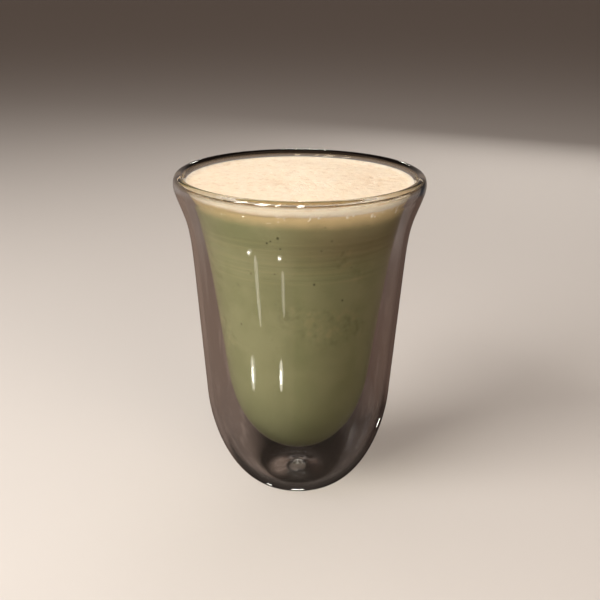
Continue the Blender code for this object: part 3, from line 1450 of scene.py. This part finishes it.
@dataclass(frozen=True)
class Surroundings:
    """Dim warm surroundings: brown below the horizon, lighter to the left, dark underfoot.

    Colours are of what lies in each direction. A pair of rises or sides is where a smooth
    step begins and ends, as the upward or rightward part of the direction.
    """

    name: str = "studio"
    table_left: Colour = (0.235, 0.162, 0.125)
    table_middle: Colour = (0.188, 0.128, 0.099)
    table_right: Colour = (0.092, 0.057, 0.044)
    near_left: Colour = (0.180, 0.130, 0.105)
    near_right: Colour = (0.031, 0.020, 0.016)
    underfoot: Colour = (0.015, 0.011, 0.009)
    nadir: Colour = (0.050, 0.039, 0.032)
    sheen: Colour = (0.400, 0.300, 0.245)
    room: Colour = (0.310, 0.258, 0.228)
    room_right: Colour = (0.032, 0.032, 0.038)
    ceiling: Colour = (0.100, 0.072, 0.055)
    table_sides: Span = (-0.18, -0.42)
    near_left_rises: Span = (-0.36, -0.56)
    near_right_rises: Span = (-0.455, -0.505)
    right_sides: Span = (0.05, 0.15)
    left_sides: Span = (-0.04, -0.12)
    nadir_rises: Span = (-0.62, -0.70)
    room_sides: Span = (0.30, 0.50)
    ceiling_rises: Span = (0.25, 0.50)
    horizon_rises: Span = (-0.325, -0.25)
    streak_stretch: Triple = (34.0, 34.0, 4.0)
    streaks: Patches = Patches(scale=1.0, low=0.52, high=0.70, detail=2.0)
    left_streak_share: float = 0.35
    right_streak_share: float = 0.15

    def build(self) -> bpy.types.World:
        """Make the world.

        Returns:
            The world.
        """
        graph = Graph(bpy.data.worlds.new(self.name))
        toward = graph.node("ShaderNodeTexCoord")["Generated"]
        part = graph.parts(toward)
        side = part["X"]
        rise = part["Z"]
        streaks = graph.patches(graph.stretch(toward, self.streak_stretch), self.streaks)
        left = graph.mix(side.between(*self.table_sides), self.table_middle, self.table_left)
        left = graph.mix(rise.between(*self.near_left_rises), left, self.near_left)
        left = graph.mix(streaks * self.left_streak_share, left, self.sheen)
        right = graph.mix(rise.between(*self.near_right_rises), self.table_right, self.near_right)
        right = graph.mix(streaks * self.right_streak_share, right, self.sheen)
        below = graph.mix(side.between(*self.right_sides), self.underfoot, right)
        below = graph.mix(side.between(*self.left_sides), below, left)
        below = graph.mix(rise.between(*self.nadir_rises), below, self.nadir)
        room = graph.mix(side.between(*self.room_sides), self.room, self.room_right)
        room = graph.mix(rise.between(*self.ceiling_rises), room, self.ceiling)
        light = graph.mix(rise.between(*self.horizon_rises), below, room)
        sky = graph.node("ShaderNodeBackground", None, {"Color": light, "Strength": 1.0})
        graph.node("ShaderNodeOutputWorld", None, {"Surface": sky["Background"]})
        return graph.owner


@dataclass
class Studio:
    """Floor, camera, surroundings and lights, for a glass whose mouth is centred here.

    The camera's distance and elevation are from the mouth, and its pitch is how far it looks
    down. Its focal length is in pixels of a frame that is frame_pixels wide.
    """

    mouth: Vector
    camera_distance: float = 0.30
    camera_elevation: float = 12.229
    camera_pitch: float = 20.7185
    camera_roll: float = 0.445
    camera_side: float = 0.0004
    camera_clearance: float = 0.01
    focal_pixels: float = 859.26
    frame_pixels: float = 600.0
    sensor: float = 36.0
    floor_size: float = 40.0
    floor_drop: float = 0.0002
    softboxes: tuple[Softbox, ...] = (
        Softbox(AreaLamp("key_softbox", 0.50, 0.50, 11.8, (1.0, 0.95, 0.88)), (-0.56, -0.355, 0.50)),
        Softbox(AreaLamp("fill_softbox", 0.50, 0.50, 3.0, (1.0, 0.84, 0.71)), (0.42, -0.57, 0.34)),
        Softbox(AreaLamp("top_softbox", 0.60, 0.60, 1.20, (1.0, 0.955, 0.91)), (-0.10, 0.10, 0.75), 1.0),
        Softbox(AreaLamp("back_softbox", 0.50, 0.30, 2.5, (1.0, 0.95, 0.88)), (0.30, 0.62, 0.30)),
    )
    glint_lamps: tuple[GlintLamp, ...] = (
        GlintLamp("low_lamp_near", -20.3, 0.3177, -0.132, 0.011, 42.0),
        GlintLamp("low_lamp_near_halo", -20.3, 0.3190, -0.132, 0.024, 5.0, 0.0, True),
        GlintLamp("low_lamp_far", -54.3, 0.3067, -0.120, 0.011, 42.0),
        GlintLamp("low_lamp_far_halo", -54.3, 0.3080, -0.120, 0.024, 5.0, 0.0, True),
        GlintLamp("rim_strip_left", -57.5, 0.45, 0.45, 0.045, 36.0, 0.22, True),
        GlintLamp("rim_strip_middle", -35.0, 0.45, 0.45, 0.090, 36.0, 0.22, True),
        GlintLamp("rim_strip_small", -20.5, 0.45, 0.45, 0.020, 36.0, 0.20, True),
        GlintLamp("rim_strip_right", 1.5, 0.45, 0.45, 0.050, 36.0, 0.22, True),
        GlintLamp("back_lamp", 180.0, 0.60, 0.400, 0.030, 40.0),
        GlintLamp("base_lamp_middle", 180.0, 0.085, -0.174, 0.022, 9.0, 0.012),
        GlintLamp("base_lamp_left", -153.0, 0.108, -0.168, 0.010, 9.0),
        GlintLamp("base_lamp_right", 138.0, 0.269, -0.150, 0.016, 9.0),
    )

    def build(self) -> None:
        """Set the whole stage."""
        self.add_floor()
        self.add_camera()
        bpy.context.scene.world = Surroundings().build()
        for lamp in (*self.softboxes, EdgeLamp(), *self.glint_lamps):
            lamp.build(self.mouth)
        bpy.context.scene.view_settings.view_transform = "Standard"

    def add_floor(self) -> None:
        """A plain pale floor that the glass's own gloss doesn't mirror."""
        form = bmesh.new()
        bmesh.ops.create_grid(form, x_segments=8, y_segments=8, size=0.5 * self.floor_size)
        mesh = bpy.data.meshes.new("floor")
        form.to_mesh(mesh)
        form.free()
        mesh.materials.append(PaleFloor().material())
        floor = bpy.data.objects.new("floor", mesh)
        floor.location.z = -self.floor_drop
        floor.visible_glossy = False
        floor.visible_transmission = False
        floor.visible_diffuse = False
        floor.visible_shadow = False
        bpy.context.scene.collection.objects.link(floor)

    def add_camera(self) -> None:
        """The camera, looking down at the froth."""
        data = bpy.data.cameras.new("camera")
        data.sensor_width = self.sensor
        data.lens = self.focal_pixels / self.frame_pixels * self.sensor
        data.clip_start = self.camera_clearance
        camera = bpy.data.objects.new("camera", data)
        lift = math.radians(self.camera_elevation)
        camera.location = self.mouth + Vector((
            self.camera_side,
            -self.camera_distance * math.cos(lift),
            self.camera_distance * math.sin(lift),
        ))
        camera.rotation_euler = (math.radians(90.0 - self.camera_pitch), 0.0, 0.0)
        camera.rotation_euler.rotate_axis("Z", math.radians(self.camera_roll))
        bpy.context.scene.collection.objects.link(camera)
        bpy.context.scene.camera = camera


# ---------------------------------------------------------------- building


def main() -> None:
    """Build every piece in order and set the stage."""
    logging.basicConfig(level=logging.INFO, format="%(name)s %(message)s")
    _, glass_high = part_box(Node.GLASS.value)
    froth_low, froth_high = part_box(Node.FROTH.value)
    glass = DoubleWallGlass(Lathe(), height=glass_high.z)
    glass.build()
    VentSeal(glass).build()
    fade_and_painted_glow = FadeAndPaintedGlow(top_level=froth_high.z)
    MatchaDrink(glass, froth_low.z, fade_and_painted_glow).build()
    FrothCap(glass, froth_high.z, froth_low.z, fade_and_painted_glow).build()
    Studio(mouth=Vector((0.0, 0.0, glass_high.z))).build()


if __name__ == "__main__":
    main()
